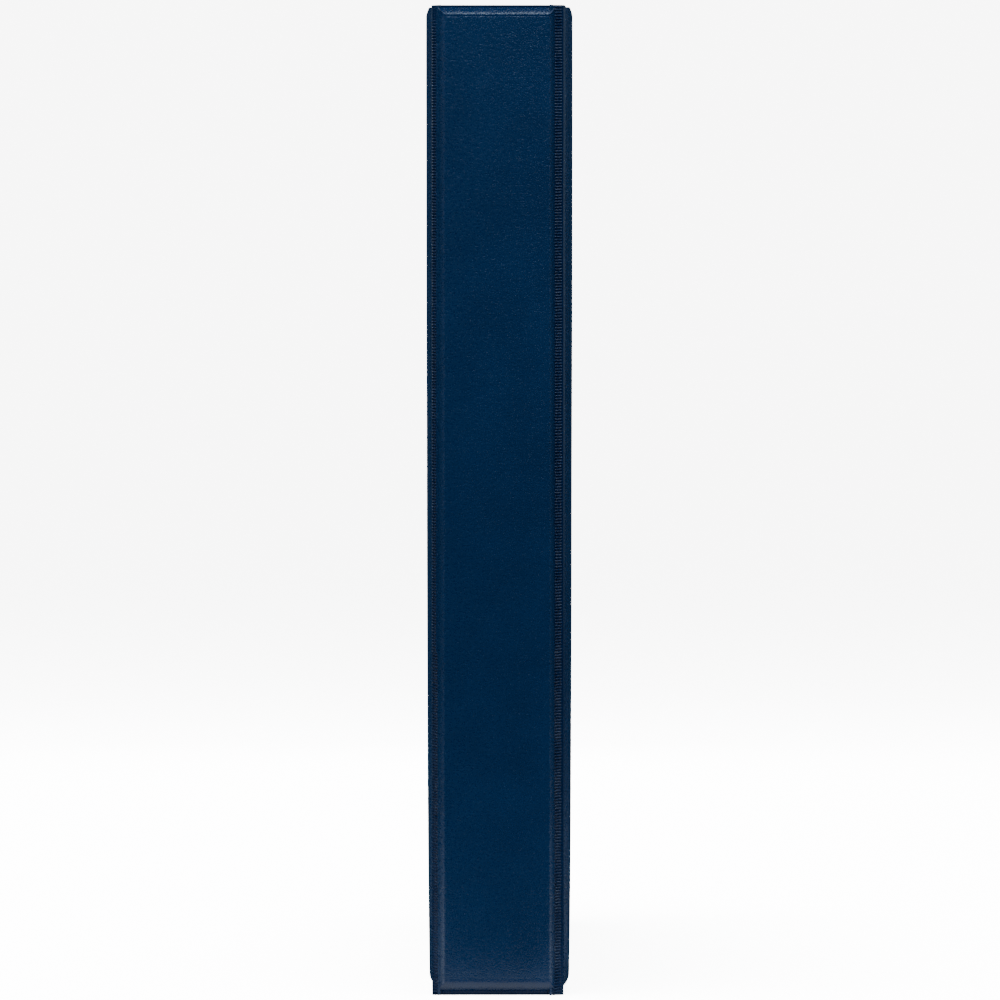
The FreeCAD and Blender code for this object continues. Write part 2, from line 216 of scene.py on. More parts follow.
def smooth_noise(points, scale, seed):
    """Smooth value, mostly from -1 to 1, at each point: crossed sines with random phases."""
    rng = np.random.default_rng(seed)
    total = np.zeros(points.shape[:-1])
    waves = 9
    shortest, longest = 0.6, 1.7
    gain = 1.6
    for _ in range(waves):
        direction = rng.normal(size=3)
        direction /= np.linalg.norm(direction)
        pitch = scale * rng.uniform(shortest, longest)
        phase = rng.uniform(0, 2 * math.pi)
        total += np.sin(points @ direction * (2 * math.pi / pitch) + phase)
    return total / waves * gain


def bell(distance, width):
    """1 at no distance, falling smoothly to almost nothing at twice the width."""
    return np.exp(-(distance / width) ** 2)


def lowest(*heights, blend=0.1):
    """Smooth least of several heights: each mitre between two bevels is slightly rounded."""
    result = heights[0]
    for other in heights[1:]:
        near = np.clip(1 - np.abs(result - other) / blend, 0, 1)
        result = np.minimum(result, other) - near ** 2 * blend / 4
    return np.clip(result, 0, None)


def ease_in(distance, width, crest=0.7):
    """0 at the foot of a bevel and 1 past its width: straight, then rounded at the crest."""
    straight = np.clip(distance / width * (1 + crest), 0, 1 + crest)
    return lowest(straight, np.ones_like(straight), blend=crest)


def ribs(along, strength=1.0):
    """Height of the weld ribs at a distance along the weld: narrow ridges, wider grooves."""
    wave = 0.5 + 0.5 * np.cos(2 * math.pi * along / RIB_PITCH)
    return RIB_HEIGHT * strength * wave ** RIB_SHARPNESS


def weld_mask(share, margin):
    """How fully the ribs stand across a weld: least within a margin of its two edges."""
    return np.sin(math.pi * np.clip(share, margin, 1 - margin)) ** 0.5


def cover_lean(high):
    """How far a cover leans off its CAD shape, by height: out at the head, in at the foot."""
    below = 1 - np.clip((high - LOW.z) / HEIGHT, 0, 1)
    at_head, drawn_in, tucked_in = 0.56, 0.62, 0.5
    return (at_head - drawn_in * below ** 1.5 - tucked_in * below ** 10) * MM


# ------------------------------------------------------------------- materials

class Nodes:
    """Short form for building a node material."""

    def __init__(self, name):
        self.material = bpy.data.materials.new(name)
        self.material.use_nodes = True
        self.tree = self.material.node_tree
        self.shader = self.tree.nodes["Principled BSDF"]
        self.place = self.add("ShaderNodeTexCoord").outputs["Object"]

    def add(self, kind, **settings):
        """New node; each setting is one of its inputs, or else one of its own properties."""
        node = self.tree.nodes.new(kind)
        for key, value in settings.items():
            if key in node.inputs:
                node.inputs[key].default_value = value
            else:
                setattr(node, key, value)
        return node

    def link(self, source, target):
        self.tree.links.new(source, target)

    def noise(self, scale, detail=2.0, roughness=0.5, stretch=None):
        """Noise in object space, its place scaled by stretch along each axis."""
        node = self.add("ShaderNodeTexNoise", Scale=scale, Detail=detail, Roughness=roughness)
        source = self.place
        if stretch:
            mapping = self.add("ShaderNodeMapping", Scale=stretch)
            self.link(self.place, mapping.inputs["Vector"])
            source = mapping.outputs["Vector"]
        self.link(source, node.inputs["Vector"])
        return node.outputs["Fac"]

    def cells(self, scale):
        """Distance to the nearest of many scattered points."""
        node = self.add("ShaderNodeTexVoronoi", Scale=scale)
        self.link(self.place, node.inputs["Vector"])
        return node.outputs["Distance"]

    def ramp(self, source, low, high, start=0.0, end=1.0):
        """Colour between low and high as source goes from start to end."""
        node = self.add("ShaderNodeValToRGB")
        node.color_ramp.elements[0].position = start
        node.color_ramp.elements[1].position = end
        node.color_ramp.elements[0].color = (*low, 1)
        node.color_ramp.elements[1].color = (*high, 1)
        self.link(source, node.inputs["Fac"])
        return node.outputs["Color"]

    def remap(self, source, low, high, start=0.0, end=1.0):
        """Value from low to high as source goes from start to end."""
        node = self.add("ShaderNodeMapRange")
        node.inputs["From Min"].default_value = start
        node.inputs["From Max"].default_value = end
        node.inputs["To Min"].default_value = low
        node.inputs["To Max"].default_value = high
        self.link(source, node.inputs["Value"])
        return node.outputs["Result"]

    def math(self, operation, first, second):
        """Result of an operation on two values, each a number or an output."""
        node = self.add("ShaderNodeMath", operation=operation)
        for socket, value in zip(node.inputs, (first, second)):
            if isinstance(value, (int, float)):
                socket.default_value = value
            else:
                self.link(value, socket)
        return node.outputs["Value"]

    def mix(self, factor, first, second):
        """Colour between first and second, each a colour or an output."""
        node = self.add("ShaderNodeMix", data_type="RGBA")
        self.link(factor, node.inputs["Factor"])
        for socket, value in ((node.inputs[MIX_A], first), (node.inputs[MIX_B], second)):
            if isinstance(value, tuple):
                socket.default_value = (*value, 1)
            else:
                self.link(value, socket)
        return node.outputs[MIX_RESULT]

    def bump(self, source, distance):
        """Normal of a surface raised by source times a distance in metres."""
        node = self.add("ShaderNodeBump", Strength=1.0, Distance=distance)
        self.link(source, node.inputs["Height"])
        return node.outputs["Normal"]

    def finish(self, color, roughness, normal=None, **fixed):
        """Material with these outputs on its shader, and fixed values on other sockets."""
        for socket, source in (("Base Color", color), ("Roughness", roughness), ("Normal", normal)):
            if source is not None:
                self.link(source, self.shader.inputs[socket])
        for name, value in fixed.items():
            self.shader.inputs[name.replace("_", " ")].default_value = value
        return self.material


def shade(tint, share):
    """A colour dimmed to a share of itself."""
    return tuple(share * c for c in tint)


def vinyl_material(name, dark, light, grain, shine, specular=0.5):
    """Calendered vinyl with a soft sheen. Its pebbles and crinkles are as deep as the grain."""
    nodes = Nodes(name)
    tone = nodes.noise(55, detail=4)
    fleck = nodes.noise(2600, detail=1)
    pebble = nodes.cells(2500)
    crinkle = nodes.noise(1100, detail=3, roughness=0.6, stretch=(0.7, 0.7, 1.3))
    color = nodes.mix(nodes.remap(tone, 0, 1, start=0.35, end=0.65), dark, light)
    hollows = nodes.math("MULTIPLY", pebble, -0.65)
    height = nodes.math("ADD", hollows, nodes.math("MULTIPLY", crinkle, 0.7))
    height = nodes.math("ADD", height, nodes.math("MULTIPLY", fleck, 0.35))
    wear = nodes.math("ADD", fleck, crinkle)
    roughness = nodes.remap(wear, shine - 0.07, shine + 0.09, start=0.7, end=1.3)
    return nodes.finish(color, roughness, nodes.bump(height, grain), Specular_IOR_Level=specular)


def metal_material(name, tint, shine, brush):
    """Plated steel with faint brushing along its length and slight handling marks."""
    nodes = Nodes(name)
    lines = nodes.noise(brush, detail=2, stretch=(1.0, 1.0, 0.06))
    marks = nodes.noise(160, detail=5, roughness=0.65)
    color = nodes.ramp(marks, shade(tint, 0.86), tint, start=0.3, end=0.7)
    wear = nodes.math("ADD", lines, marks)
    roughness = nodes.remap(wear, shine - 0.05, shine + 0.12, start=0.7, end=1.3)
    return nodes.finish(color, roughness, nodes.bump(lines, 0.006 * MM), Metallic=1.0)


def board_material(name, dark, light):
    """Pressed grey board with fibres."""
    nodes = Nodes(name)
    fibres = nodes.noise(1500, detail=4, stretch=(1.0, 0.35, 0.35))
    color = nodes.ramp(fibres, dark, light, start=0.35, end=0.65)
    return nodes.finish(color, nodes.remap(fibres, 0.75, 0.95), nodes.bump(fibres, 0.05 * MM))


def paper_material(name):
    """Ledger paper: faint fibre, rows and columns ruled for entries, and a tinted heading."""
    table_start, table_end = -92 * MM, 96 * MM
    table_foot, table_head = 22 * MM, 268 * MM
    heading_foot = 254.2 * MM
    row, row_line = 8.2 * MM, 0.28 * MM
    column, column_line, column_shift = 18.8 * MM, 0.32 * MM, 4 * MM
    nodes = Nodes(name)
    fibres = nodes.noise(900, detail=4)
    paper = nodes.ramp(fibres, (0.80, 0.82, 0.73), (0.88, 0.89, 0.81), start=0.3, end=0.7)
    split = nodes.add("ShaderNodeSeparateXYZ")
    nodes.link(nodes.place, split.inputs["Vector"])
    across, up = split.outputs["Y"], split.outputs["Z"]

    def lines(source, pitch, width, shift=0.0):
        """1 on each ruled line. Ten pitches more keep what MODULO divides above zero."""
        shifted = nodes.math("ADD", source, 10 * pitch + shift)
        return nodes.math("LESS_THAN", nodes.math("MODULO", shifted, pitch), width)

    def between(source, low, high):
        """1 where source lies between low and high."""
        return nodes.math("MULTIPLY", nodes.math("GREATER_THAN", source, low),
                          nodes.math("LESS_THAN", source, high))

    table = nodes.math("MULTIPLY", between(across, table_start, table_end),
                       between(up, table_foot, table_head))
    ruled = nodes.math("MAXIMUM", lines(up, row, row_line),
                       lines(across, column, column_line, column_shift))
    ruled = nodes.math("MULTIPLY", ruled, table)
    heading = nodes.math("MULTIPLY", between(up, heading_foot, table_head), table)
    color = nodes.mix(nodes.math("MULTIPLY", heading, 0.55), paper, (0.60, 0.72, 0.62))
    color = nodes.mix(ruled, color, (0.22, 0.40, 0.34))
    return nodes.finish(color, nodes.remap(fibres, 0.7, 0.9), nodes.bump(fibres, 0.02 * MM))


def card_material(name, tint):
    """Smooth divider card."""
    nodes = Nodes(name)
    fibres = nodes.noise(700, detail=4)
    color = nodes.ramp(fibres, shade(tint, 0.9), tint, start=0.3, end=0.7)
    return nodes.finish(color, nodes.remap(fibres, 0.5, 0.65), nodes.bump(fibres, 0.02 * MM))


def plastic_material(name, tint, shine):
    """Calendered plastic sheet with a slight haze."""
    nodes = Nodes(name)
    haze = nodes.noise(120, detail=4)
    color = nodes.ramp(haze, shade(tint, 0.8), tint, start=0.3, end=0.7)
    roughness = nodes.remap(haze, shine - 0.05, shine + 0.08)
    return nodes.finish(color, roughness, nodes.bump(haze, 0.04 * MM))


NAVY = vinyl_material("navy_vinyl", (0.0003, 0.014, 0.0495), (0.0005, 0.0165, 0.057),
                      grain=0.14 * MM, shine=0.3)
# Welded vinyl: smoother and glossier, its colour darkened as painted shade of the rib grooves.
WELD_WITH_PAINTED_SHADE = vinyl_material("welded_vinyl_painted_shade", (0.0002, 0.0079, 0.033), (0.0003, 0.0094, 0.038),
                      grain=0.03 * MM, shine=0.27, specular=0.19)
# Stretched vinyl: finer grain and glossier, and a little darker than the face as painted shade on
# the end bevels.
TAUT_WITH_PAINTED_SHADE = vinyl_material("taut_vinyl_painted_shade", (0.0002, 0.0124, 0.048), (0.0003, 0.0146, 0.0555),
                      grain=0.1 * MM, shine=0.28)
LINING = vinyl_material("lining_vinyl", (0.0004, 0.014, 0.052), (0.0005, 0.0162, 0.0595),
                        grain=0.1 * MM, shine=0.38)
POCKET = vinyl_material("pocket_vinyl", (0.0008, 0.0165, 0.066), (0.001, 0.0195, 0.0765),
                        grain=0.05 * MM, shine=0.32)
BOARD = board_material("greyboard", (0.20, 0.19, 0.17), (0.34, 0.32, 0.29))
NICKEL = metal_material("nickel_wire", (0.76, 0.74, 0.70), shine=0.16, brush=900)
SHEET_NICKEL = metal_material("nickel_sheet", (0.72, 0.70, 0.67), shine=0.24, brush=1400)
ZINC = metal_material("zinc_steel", (0.60, 0.60, 0.60), shine=0.38, brush=1400)
PAPER = paper_material("log_paper")
CARD = card_material("divider_card", (0.78, 0.66, 0.42))
LIFTER = plastic_material("lifter_plastic", (0.012, 0.014, 0.018), shine=0.34)


# ------------------------------------------------------------------ vinyl case

def spine_point(across, height, high):
    """Points of the spine panel: height is how far the surface stands out of the seam."""
    return np.stack([across, SPINE_FACE + SEAM - height, high], axis=-1)


def add_spine_panel(case):
    """Vinyl drawn over the spine board: bevels, mitred corners, and creases where it turns."""
    across = spread(PANEL_LEFT, PANEL_RIGHT, 3.4 * MM, 2.8 * MM, fine=0.16 * MM, coarse=0.32 * MM)
    up = spread(PANEL_LOW, PANEL_HIGH, 4.2 * MM, 4.2 * MM, fine=0.14 * MM, coarse=2.6 * MM)
    x, z = np.meshgrid(across, up)
    points = np.stack([x, np.zeros_like(x), z], axis=-1)
    crinkle = 0.6 * smooth_noise(points, 2.4 * MM, 3) + 0.6 * smooth_noise(points, 1.1 * MM, 4)
    head = PANEL_HIGH - z
    foot = z - PANEL_LOW
    sides = lowest(ease_in(x - PANEL_LEFT, LEFT_BEVEL), ease_in(PANEL_RIGHT - x, RIGHT_BEVEL))
    ends = lowest(
        ease_in(foot, FOOT_BEVEL, crest=0.5),
        ease_in(head, HEAD_BEVEL * (1 + 0.1 * crinkle), crest=0.45),
    )
    rise = lowest(sides, ends)
    height = VINYL + (SEAM - VINYL) * rise
    # The vinyl is gathered into a thin fold along each mitre, which ends below the crest.
    fold, fold_width, fold_end, fold_fade = 0.1 * MM, 0.1, 0.95, 0.2
    height += fold * bell(sides - ends, fold_width) * np.clip((fold_end - rise) / fold_fade, 0, 1)
    # It creases and puckers where it turns over the head of the board, clear of the corners.
    inside = ease_in(x - PANEL_LEFT - 2 * MM, MM) * ease_in(PANEL_RIGHT - x - MM, MM)
    crease = bell(head - 2.75 * MM, 0.22 * MM)
    pucker = bell(head - 1.8 * MM, 0.7 * MM) * crinkle
    height += inside * (-0.08 * MM * crease + 0.06 * MM * pucker)
    # The board is not quite flat, and the vinyl dips where it is drawn down to the foot.
    warp, dip = 0.035 * MM, 0.05 * MM
    height += warp * smooth_noise(points, 60 * MM, 5) * rise
    height -= dip * bell(foot - 3.6 * MM, 0.9 * MM) * inside
    case.add(spine_point(x, height, z), spine_point(x, np.maximum(height - VINYL, 0), z))


def add_spine_flange(case, low, high):
    """Ribbed weld across the spine, from one height to another."""
    half_width = 18.7 * MM
    across = np.arange(-half_width, half_width, RIB_PITCH / RIB_STEPS)
    x, z = np.meshgrid(across, np.linspace(low, high, 7))
    share = (z - low) / (high - low)
    wobble = smooth_noise(np.stack([x, z, z], axis=-1), 9 * MM, 7)
    film = 0.62 * VINYL
    height = film + ribs(x, 0.55 + 0.3 * wobble) * weld_mask(share, 0.04)
    wave = 0.12 * MM * smooth_noise(np.stack([x, 0 * z, 0 * z], axis=-1), 22 * MM, 9) * (1 - share)
    case.add(spine_point(x, height + wave, z), spine_point(x, wave - HAIR, z))


def make_spine_case():
    """Outer vinyl of the spine: its panel, and the ribbed flanges at foot and head."""
    case = Shell()
    add_spine_panel(case)
    add_spine_flange(case, LOW.z, FOOT_FLANGE_END)
    add_spine_flange(case, HEAD_FLANGE_START, HIGH.z)
    piece = case.build("spine_case", NAVY)
    # The vinyl is stretched smooth where it turns over the ends of the board, and its colour there
    # is a little darker than the face as painted shade.
    left_rim, right_rim, head_turn = 0.7 * MM, 0.6 * MM, 3.2 * MM
    x, _, z = face_centres(piece).T
    over_board = (x > PANEL_LEFT + left_rim) & (x < PANEL_RIGHT - right_rim)
    at_ends = (PANEL_HIGH - z < head_turn) | (z - PANEL_LOW < FOOT_BEVEL)
    mark_faces(piece, TAUT_WITH_PAINTED_SHADE, at_ends & over_board)
    # The flanges take the welded vinyl, its colour darkened as painted shade.
    mark_faces(piece, WELD_WITH_PAINTED_SHADE, (z < PANEL_LOW) | (z > PANEL_HIGH))
    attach(piece, "spine")
    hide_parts("spine_outer_vinyl")


def make_spine_core():
    """Spine board, its long edges pressed round where the vinyl is drawn over them."""
    low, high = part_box("spine_board")
    across = np.linspace(low.x + 1.4 * MM, high.x - 1.2 * MM, 24)
    up = np.linspace(low.z + 1.2 * MM, high.z - 0.6 * MM, 60)
    x, z = np.meshgrid(across, up)
    rounding = 0.8 * MM
    edge = np.minimum(ease_in(x - across[0], rounding), ease_in(across[-1] - x, rounding))
    at_edge, gained_inside = 0.72, 0.26
    height = (SEAM - VINYL) * (at_edge + gained_inside * edge)
    core = Shell()
    core.add(spine_point(x, height, z), spine_point(x, np.full_like(x, HAIR), z))
    piece = core.build("spine_core", BOARD)
    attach(piece, "spine")
    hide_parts("spine_board")


def cover_point(side, depth, height, high):
    """Points of a cover: depth behind the spine face, height out of the cover's seam."""
    lean_at_seam = 0.6
    lean = cover_lean(high) * np.clip(height / COVER_THICK + lean_at_seam, 0, 1)
    return np.stack([side * (COVER_SEAM + height + lean), SPINE_FACE + depth, high], axis=-1)


def make_cover(name, side):
    """One cover: outer vinyl with its welded border, board, lining and pocket."""
    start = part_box(f"{name}_cover_inner_vinyl")[0].y - SPINE_FACE
    end = FORE_EDGE - SPINE_FACE
    make_cover_case(name, side, start, end)
    make_cover_core(name, side)
    make_lining(name, side, start, end)
    make_pocket(name, side)


def make_cover_case(name, side, start, end):
    """Outer vinyl of a cover, bevelled on three sides and rounded over at the head."""
    panel_start, panel_end = start + 1.5 * MM, end - SIDE_FLANGE
    panel_low, panel_high = LOW.z + 1.7 * MM, HIGH.z
    along = spread(panel_start, panel_end, 4.2 * MM, 3.6 * MM, fine=0.2 * MM, coarse=3.2 * MM)
    up = spread(panel_low, panel_high, 5.4 * MM, 3.2 * MM, fine=0.2 * MM, coarse=3.2 * MM)
    u, z = np.meshgrid(along, up)
    hinge_bevel, fore_bevel, foot_bevel = 2.6 * MM, 2.4 * MM, 4.0 * MM
    head_width, head_drop, head_curve = 2.7 * MM, 0.44, 1.6
    rise = np.minimum.reduce([
        ease_in(u - panel_start, hinge_bevel),
        ease_in(panel_end - u, fore_bevel),
        ease_in(z - panel_low, foot_bevel),
        1 - head_drop * (1 - np.clip((panel_high - z) / head_width, 0, 1)) ** head_curve,
    ])
    height = VINYL + (COVER_THICK - VINYL) * rise
    points = np.stack([np.full_like(u, side * COVER_SEAM), u, z], axis=-1)
    warp = 0.05 * MM
    height += warp * smooth_noise(points, 90 * MM, 15 + side) * rise
    under = np.maximum(height - VINYL, 0)
    case = Shell()
    case.add(cover_point(side, u, height, z), cover_point(side, u, under, z))
    add_border(case, side, start, end)
    piece = case.build(f"{name}_cover_case", NAVY)
    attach(piece, f"{name}_cover")
    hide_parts(f"{name}_cover_outer_vinyl")


def make_cover_core(name, side):
    """Board of a cover, just inside its outer vinyl."""
    low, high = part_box(f"{name}_cover_board")
    along = np.linspace(low.y - SPINE_FACE + 0.6 * MM, high.y - SPINE_FACE - 0.4 * MM, 30)
    up = np.linspace(low.z + 1.6 * MM, high.z, 40)
    u, z = np.meshgrid(along, up)
    clearance = 0.1 * MM
    outer = np.full_like(u, COVER_THICK - VINYL - clearance)
    core = Shell()
    core.add(cover_point(side, u, outer, z), cover_point(side, u, 0 * outer + HAIR, z))
    piece = core.build(f"{name}_cover_core", BOARD)
    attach(piece, f"{name}_cover")
    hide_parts(f"{name}_cover_board")


def border_strip(case, side, centre_line, length, seed):
    """One ribbed weld along a cover's edge.

    centre_line gives depth and height from a share of the weld's length and one of its width.
    """
    along = np.linspace(0, 1, RIB_STEPS * int(length / RIB_PITCH) + 1)
    w, t = np.meshgrid(np.linspace(0, 1, 6), along)
    u, z = centre_line(t, w)
    points = np.stack([u, z, 0 * z], axis=-1)
    wobble = smooth_noise(points, 14 * MM, seed)
    film = 0.6 * VINYL
    height = film + ribs(t * length, 0.6 + 0.25 * wobble) * weld_mask(w, 0.05)
    ripple = 0.1 * MM * smooth_noise(points, 40 * MM, seed + 2)
    under = cover_point(side, u, ripple - HAIR, z)
    case.add(cover_point(side, u, height + ripple, z), under[::RIB_STEPS])


def add_border(case, side, start, end):
    """Welded border round a cover: foot, fore edge and the strip beside the hinge."""
    depth = end - start
    lap = 0.15 * MM
    wide = SIDE_FLANGE + lap
    border_strip(case, side, lambda t, w: (start + t * depth, LOW.z + w * wide), depth, 21)
    border_strip(case, side, lambda t, w: (end - w * wide, LOW.z + t * HEIGHT), HEIGHT, 22)
    border_strip(case, side, lambda t, w: (start + w * wide, LOW.z + t * HEIGHT), HEIGHT, 23)


def make_lining(name, side, start, end):
    """Inner vinyl of a cover, with the mirror of the welded border pressed into it."""
    low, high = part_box(f"{name}_cover_inner_vinyl")
    edge, fine, coarse = 3 * MM, 0.3 * MM, 4 * MM
    along = spread(start, end, edge, edge, fine, coarse)
    up = spread(LOW.z, HIGH.z, edge, edge, fine, coarse)
    u, z = np.meshgrid(along, up)
    inside = np.minimum.reduce([u - start, end - u, z - LOW.z, HIGH.z - z])
    groove = 0.12 * MM * bell(inside - 1.9 * MM, 0.35 * MM)
    points = np.stack([u * 0, u, z], axis=-1)
    wave = 0.04 * MM * smooth_noise(points, 70 * MM, 31 + side)
    inner = low.x - high.x + groove + wave
    lining = Shell()
    lining.add(cover_point(side, u, inner, z), cover_point(side, u, 0 * u - HAIR, z))
    piece = lining.build(f"{name}_cover_lining", LINING)
    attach(piece, f"{name}_cover")
    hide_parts(f"{name}_cover_inner_vinyl")


def make_pocket(name, side):
    """Pocket inside a cover: a sheet welded on three sides, its mouth bowed and hemmed."""
    low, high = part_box(f"{name}_pocket")
    lining_low, lining_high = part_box(f"{name}_cover_inner_vinyl")
    along = spread(low.y, high.y, 3 * MM, 3 * MM, fine=0.4 * MM, coarse=4 * MM)
    up = spread(low.z, high.z, 3 * MM, 6 * MM, fine=0.4 * MM, coarse=4 * MM)
    y, z = np.meshgrid(along, up)
    share = (y - low.y) / (high.y - low.y)
    # The mouth dips in a shallow curve so that a thumb can reach papers.
    mouth_dip = 0.05
    z = low.z + (z - low.z) * (1 - mouth_dip * np.sin(math.pi * share) ** 2)
    to_mouth = z.max(axis=0, keepdims=True) - z
    to_weld = np.minimum.reduce([y - low.y, high.y - y, z - low.z])
    puff = 0.55 * MM * np.sin(math.pi * share) * np.clip((z - low.z) / (high.z - low.z), 0, 1) ** 2
    hem = 0.14 * MM * (to_mouth < 2.6 * MM)
    groove = 0.1 * MM * bell(to_weld - 1.6 * MM, 0.3 * MM)
    base = lining_low.x - lining_high.x
    inner = base - (high.x - low.x + puff + hem - groove)
    depth = y - SPINE_FACE
    clearance = 0.01 * MM
    pocket = Shell()
    pocket.add(cover_point(side, depth, inner, z),
               cover_point(side, depth, base - puff - clearance, z))
    piece = pocket.build(f"{name}_cover_pocket", POCKET)
    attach(piece, f"{name}_cover")
    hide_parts(f"{name}_pocket")


# ------------------------------------------------------------------ hinge webs

def rounded_path(points, shares):
    """Points at shares of the length of a path whose corners have been cut round."""
    path = np.array(points)
    near, far = 0.75, 0.25
    rounds = 3
    for _ in range(rounds):
        before, after = path[:-1], path[1:]
        cut = np.stack([near * before + far * after, far * before + near * after], axis=1)
        path = np.concatenate([path[:1], cut.reshape(-1, 2), path[-1:]])
    steps = np.linalg.norm(np.diff(path, axis=0), axis=1)
    run = np.concatenate([[0], np.cumsum(steps)]) / steps.sum()
    return np.stack([np.interp(shares, run, path[:, k]) for k in (0, 1)], axis=-1)


# Path of each hinge web, in millimetres: outwards from the middle, and behind the face. It
# comes down the side of the spine board, crosses to its corner and turns back along the cover.
WEB_PATHS = {
    "front": [(15.2, 0.8), (16.1, 1.75), (17.2, 1.85), (18.6, 1.9), (19.05, 2.5), (19.25, 3.8),
              (19.25, 5.2), (19.12, 6.9)],
    "back": [(17.5, 1.5), (18.1, 1.9), (18.9, 2.1), (19.6, 2.5), (20.0, 3.6), (19.9, 5.2),
             (19.4, 6.8), (19.12, 7.9)],
}
WEB_THICK = 0.62 * MM
# Where the ribs of each weld begin and end across the web, above and below the step in the
# weld, as shares of the path.
RIB_BANDS = {
    "front": ((0.165, 0.41), (0.06, 0.41)),
    "back": ((0.155, 0.39), (0.10, 0.38)),
}
# Where vinyl squeezed out of the weld stands in a bead beside the ribs, as a share of the path:
# on the front web at the outer end of the ribs, and on the back web at their inner end.
WEB_BEADS = {
    "front": lambda band: band[1] + 0.02,
    "back": lambda band: band[0] - 0.035,
}


def web_columns(beads):
    """Shares of the path where a web has a column of points: closer at the ribs and beads."""
    near_beads = np.add.outer(beads, np.linspace(-0.03, 0.03, 5)).ravel()
    least_gap = 0.006
    even = [np.linspace(0, 0.56, 15), np.linspace(0.62, 1, 6)]
    share = np.union1d(np.concatenate(even), near_beads)
    share = share[np.concatenate([[True], np.diff(share) > least_gap])]
    share[-1] = 1
    return share


def rib_slant(side, up):
    """Shift along the weld that slants a web's ribs, by height: the two webs differ."""
    down = 1 - (up - LOW.z) / HEIGHT
    if side > 0:
        return -1.0 * MM * down
    at_head, gained_down, lost_at_foot, foot_reach = 0.5, 1.9, 2.6, 4 * MM
    at_foot = np.exp(-(up - LOW.z) / foot_reach)
    return -(at_head + gained_down * down ** 2 - lost_at_foot * at_foot) * MM


def make_web(name, side):
    """Welded hinge: a ribbed strip of vinyl that rolls from the spine's edge to the cover's."""
    path = MM * np.array(WEB_PATHS[name])
    upper, lower = RIB_BANDS[name]
    beads = [WEB_BEADS[name](band) for band in (upper, lower)]
    rows = RIB_STEPS * int(HEIGHT / RIB_PITCH) + 1
    t, z = np.meshgrid(web_columns(beads), np.linspace(LOW.z, HIGH.z, rows))
    line = rounded_path(path, t)
    step = 0.03
    ahead = rounded_path(path, np.clip(t + step, 0, 1)) - rounded_path(path, np.clip(t - step, 0, 1))
    ahead /= np.linalg.norm(ahead, axis=-1, keepdims=True)
    out = np.stack([ahead[..., 1], -ahead[..., 0]], axis=-1)
    # The ribs start and end within a band of the path, which widens below the step.
    above = z > WELD_STEP
    first = np.where(above, upper[0], lower[0])
    last = np.where(above, upper[1], lower[1])
    fade_in, fade_out = 0.03, 0.04
    mask = np.clip((t - first) / fade_in, 0, 1) * np.clip((last - t) / fade_out, 0, 1)
    if side < 0:
        # On the back web they fade out just below the head.
        faded, fade_start, fade_length = 0.15, 3.5 * MM, 4 * MM
        below_head = np.clip((HIGH.z - fade_start - z) / fade_length, 0, 1)
        mask *= faded + (1 - faded) * below_head
    points = np.stack([0 * z, t * 3 * MM, z], axis=-1)
    strength = 1.1 + 0.22 * smooth_noise(points, 7 * MM, 41 + side)
    wander = 0.08 * MM * smooth_noise(points, 12 * MM, 43)
    lift = ribs(z + rib_slant(side, z) * t + wander, strength) * mask
    pressed = 0.1 * MM * mask
    wave = 0.05 * MM * smooth_noise(points, 30 * MM, 45 + side)
    bead_height, bead_width = 0.2 * MM, 0.02
    bead = bead_height * bell(t - np.where(above, *beads), bead_width)
    outer = line + out * (lift - pressed + wave + bead)[..., None]
    inner = line - out * WEB_THICK
    lean = cover_lean(z) * t ** 2
    top, bottom = (
        np.stack([side * (surface[..., 0] + lean), SPINE_FACE + surface[..., 1], z], axis=-1)
        for surface in (outer, inner)
    )
    web = Shell()
    web.add(top, bottom[::RIB_STEPS])
    piece = web.build(f"{name}_hinge", NAVY)
    # The welded face begins at the inner end of the ribs and ends where the web turns back. Its
    # vinyl is darkened there as painted shade.
    turned_back = 4.2 * MM
    weld_start = rounded_path(path, np.array([upper[0], lower[0]]))[:, 0]
    x, y, up = face_centres(piece).T
    in_weld = side * x > np.where(up > WELD_STEP, *weld_start)
    mark_faces(piece, WELD_WITH_PAINTED_SHADE, in_weld & (y - SPINE_FACE < turned_back))
    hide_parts(f"{name}_hinge_web")
    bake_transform(piece)


# ---------------------------------------------------------------- loose leaves

def outline_mesh(outline, holes, thick):
    """Vertices and faces of a flat sheet with holes, lying in X and Y, thick along Z."""
    curve = bpy.data.curves.new("sheet", "CURVE")
    curve.dimensions = "2D"
    curve.fill_mode = "BOTH"
    curve.extrude = thick / 2
    for ring in [outline, *holes]:
        spline = curve.splines.new("POLY")
        spline.points.add(len(ring) - 1)
        for point, (a, b) in zip(spline.points, ring):
            point.co = (a, b, 0, 1)
        spline.use_cyclic_u = True
    holder = bpy.data.objects.new("sheet", curve)
    LINK(holder)
    bpy.context.view_layer.update()
    graph = bpy.context.evaluated_depsgraph_get()
    mesh = bpy.data.meshes.new_from_object(holder.evaluated_get(graph))
    work = bmesh.new()
    work.from_mesh(mesh)
    same_point = 0.0005 * MM
    bmesh.ops.remove_doubles(work, verts=work.verts, dist=same_point)
    verts = [tuple(vert.co) for vert in work.verts]
    faces = [tuple(vert.index for vert in face.verts) for face in work.faces]
    work.free()
    bpy.data.objects.remove(holder)
    bpy.data.curves.remove(curve)
    bpy.data.meshes.remove(mesh)
    return verts, faces


def circle(centre, radius, count=28):
    """Points round a circle."""
    turns = [2 * math.pi * k / count for k in range(count)]
    return [(centre[0] + radius * math.cos(a), centre[1] + radius * math.sin(a)) for a in turns]


def rectangle(low_y, high_y, low_z, high_z):
    """Corners of an upright rectangle, in order round it."""
    return [(low_y, low_z), (high_y, low_z), (high_y, high_z), (low_y, high_z)]


